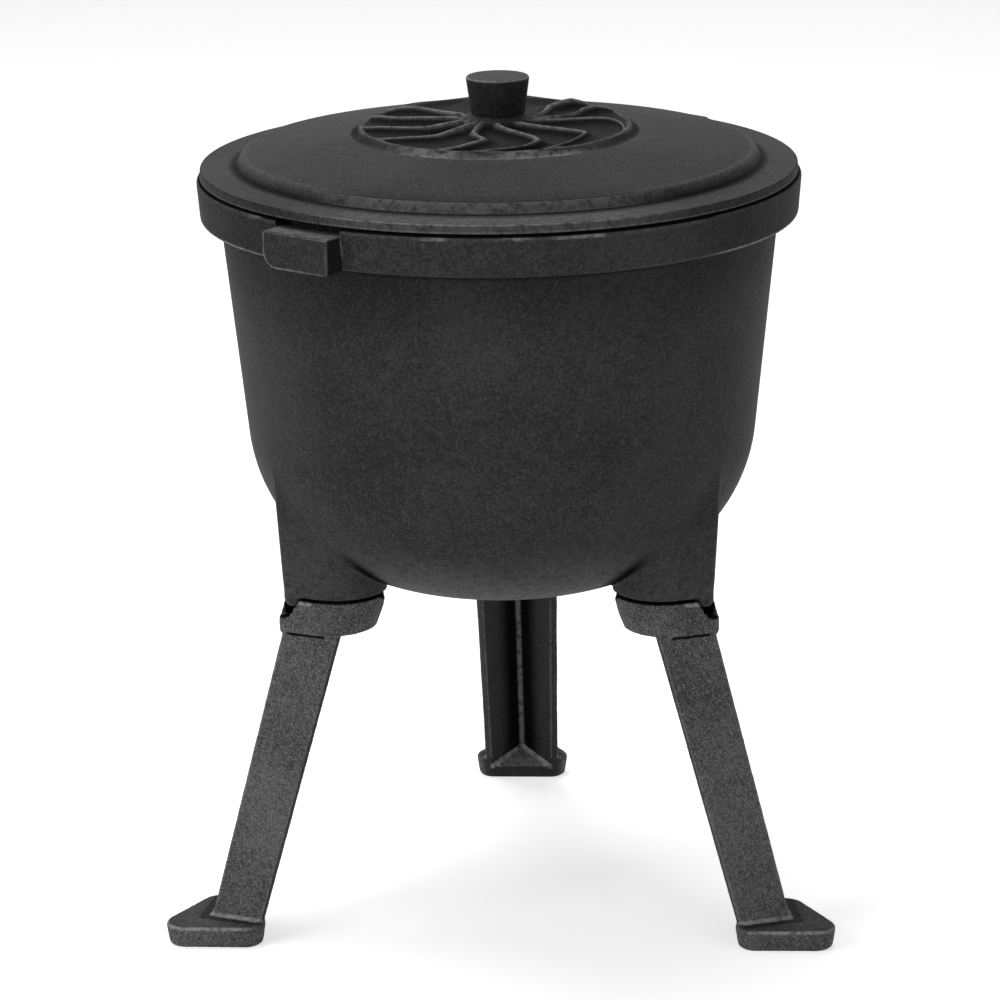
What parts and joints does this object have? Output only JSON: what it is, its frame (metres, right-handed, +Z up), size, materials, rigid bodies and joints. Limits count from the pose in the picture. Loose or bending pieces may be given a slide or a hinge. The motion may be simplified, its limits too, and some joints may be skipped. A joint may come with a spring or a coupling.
{
  "type": "three-legged cooking pot",
  "caption": "Black enamelled cast iron cooking pot with a domed lid, rosette and knob, two rim lugs and bolted-on splayed legs with pad feet.",
  "frame": {"origin": "on the ground plane that the three feet stand on, under the pot's axis", "axes": "+Z up along the pot's axis, +Y towards the rear leg; the front legs stand at azimuth 210 and 330 degrees"},
  "size_m": [0.3236, 0.3304, 0.4086],
  "materials": {
    "enamel": "matte black enamel over cast iron, fine orange-peel grain",
    "leg_iron": "rough sand-cast iron, black coated, speckled",
    "steel": "zinc-plated, dull"
  },
  "bodies": {
    "pot": {"pot_body": "enamel", "leg_rear": "leg_iron", "leg_left": "leg_iron", "leg_right": "leg_iron", "leg_bolt_rear": "steel", "leg_bolt_left": "steel", "leg_bolt_right": "steel", "leg_washer_rear": "steel", "leg_washer_left": "steel", "leg_washer_right": "steel"},
    "lid": {"lid": "enamel", "knob": "enamel", "knob_screw": "steel", "knob_washer": "steel"}
  },
  "joints": [
    {"name": "lid_lift", "type": "slide", "parent": "pot", "child": "lid", "axis": [0, 0, 1], "range_m": [0, 0.22]}
  ]
}
